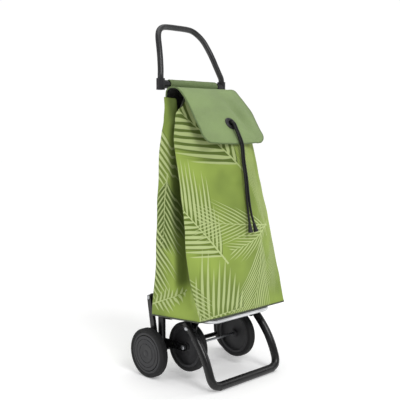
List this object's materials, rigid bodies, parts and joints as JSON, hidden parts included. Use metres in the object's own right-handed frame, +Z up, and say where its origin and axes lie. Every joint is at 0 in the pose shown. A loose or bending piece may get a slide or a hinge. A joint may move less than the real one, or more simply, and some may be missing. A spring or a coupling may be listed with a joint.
{
  "type": "wheeled shopping trolley",
  "caption": "Fabric shopping trolley on a tubular frame with a swing-back rear axle, fixed inner wheels, a folding stand and an arched handle",
  "frame": {"origin": "on the floor, under the middle of the overall box", "axes": "+Z up, -Y the front of the bag, +X the left-hand side of a user who stands behind and faces the front"},
  "size_m": [0.391, 0.3426, 1.0751],
  "materials": {
    "powder_black": "semi-gloss powder coat",
    "moulded_black": "fine moulded texture",
    "aluminium": "drawn tube, satin",
    "zinc_steel": "bright zinc plate",
    "tyre_foam": "matt foam tyre",
    "rim_plastic": "moulded plastic",
    "printed_fabric": "woven polyester with a palm-leaf print",
    "plain_fabric": "plain woven polyester, bound edges",
    "stiff_board": "stiff base board",
    "black_cord": "braided cord"
  },
  "bodies": {
    "frame": {"upright_left": "aluminium", "upright_right": "aluminium", "base_bracket_left": "powder_black", "base_bracket_right": "powder_black", "platform_rail": "aluminium", "stand_hinge_left": "powder_black", "stand_hinge_right": "powder_black", "stand_bolt_left": "zinc_steel", "stand_bolt_right": "zinc_steel", "corner_fitting_left": "moulded_black", "corner_fitting_right": "moulded_black", "crossbar": "powder_black", "crossbar_sleeve": "plain_fabric", "handle": "powder_black", "front_axle": "zinc_steel", "front_axle_nut_left": "zinc_steel", "front_axle_nut_right": "zinc_steel", "carriage_pin_left": "zinc_steel", "carriage_pin_right": "zinc_steel", "bag_body": "printed_fabric", "base_board": "stiff_board", "flap_root": "plain_fabric"},
    "stand": {"folding_stand": "powder_black"},
    "carriage": {"rear_axle_tube": "powder_black", "rear_spindle": "zinc_steel", "carriage_arm_left": "powder_black", "carriage_arm_right": "powder_black", "rear_spacer_left": "powder_black", "rear_spacer_right": "powder_black"},
    "front_wheel_left": {"front_wheel_left_tyre": "tyre_foam", "front_wheel_left_rim": "rim_plastic"},
    "front_wheel_right": {"front_wheel_right_tyre": "tyre_foam", "front_wheel_right_rim": "rim_plastic"},
    "rear_wheel_left": {"rear_wheel_left_tyre": "tyre_foam", "rear_wheel_left_rim": "rim_plastic", "rear_wheel_left_cap": "rim_plastic"},
    "rear_wheel_right": {"rear_wheel_right_tyre": "tyre_foam", "rear_wheel_right_rim": "rim_plastic", "rear_wheel_right_cap": "rim_plastic"},
    "flap": {"flap": "plain_fabric", "eyelet": "moulded_black", "drawstring_left": "black_cord", "drawstring_right": "black_cord", "cord_end_left": "moulded_black", "cord_end_right": "moulded_black"}
  },
  "joints": [
    {"name": "front_wheel_left_spin", "type": "hinge", "parent": "frame", "child": "front_wheel_left", "pos_m": [0.1055, -0.005, 0.098], "axis": [1, 0, 0], "continuous": true},
    {"name": "front_wheel_right_spin", "type": "hinge", "parent": "frame", "child": "front_wheel_right", "pos_m": [-0.1055, -0.005, 0.098], "axis": [1, 0, 0], "continuous": true},
    {"name": "rear_wheel_left_spin", "type": "hinge", "parent": "carriage", "child": "rear_wheel_left", "pos_m": [0.1825, 0.0855, 0.075], "axis": [1, 0, 0], "continuous": true},
    {"name": "rear_wheel_right_spin", "type": "hinge", "parent": "carriage", "child": "rear_wheel_right", "pos_m": [-0.1825, 0.0855, 0.075], "axis": [1, 0, 0], "continuous": true},
    {"name": "stand_fold", "type": "hinge", "parent": "frame", "child": "stand", "pos_m": [0, -0.052, 0.171], "axis": [1, 0, 0], "range_deg": [0, 65]},
    {"name": "carriage_swing", "type": "hinge", "parent": "frame", "child": "carriage", "pos_m": [0, 0.1155, 0.236], "axis": [1, 0, 0], "range_deg": [0, 110]},
    {"name": "flap_open", "type": "hinge", "parent": "frame", "child": "flap", "pos_m": [0, 0.0455, 0.8745], "axis": [-1, 0, 0], "range_deg": [0, 110]}
  ]
}
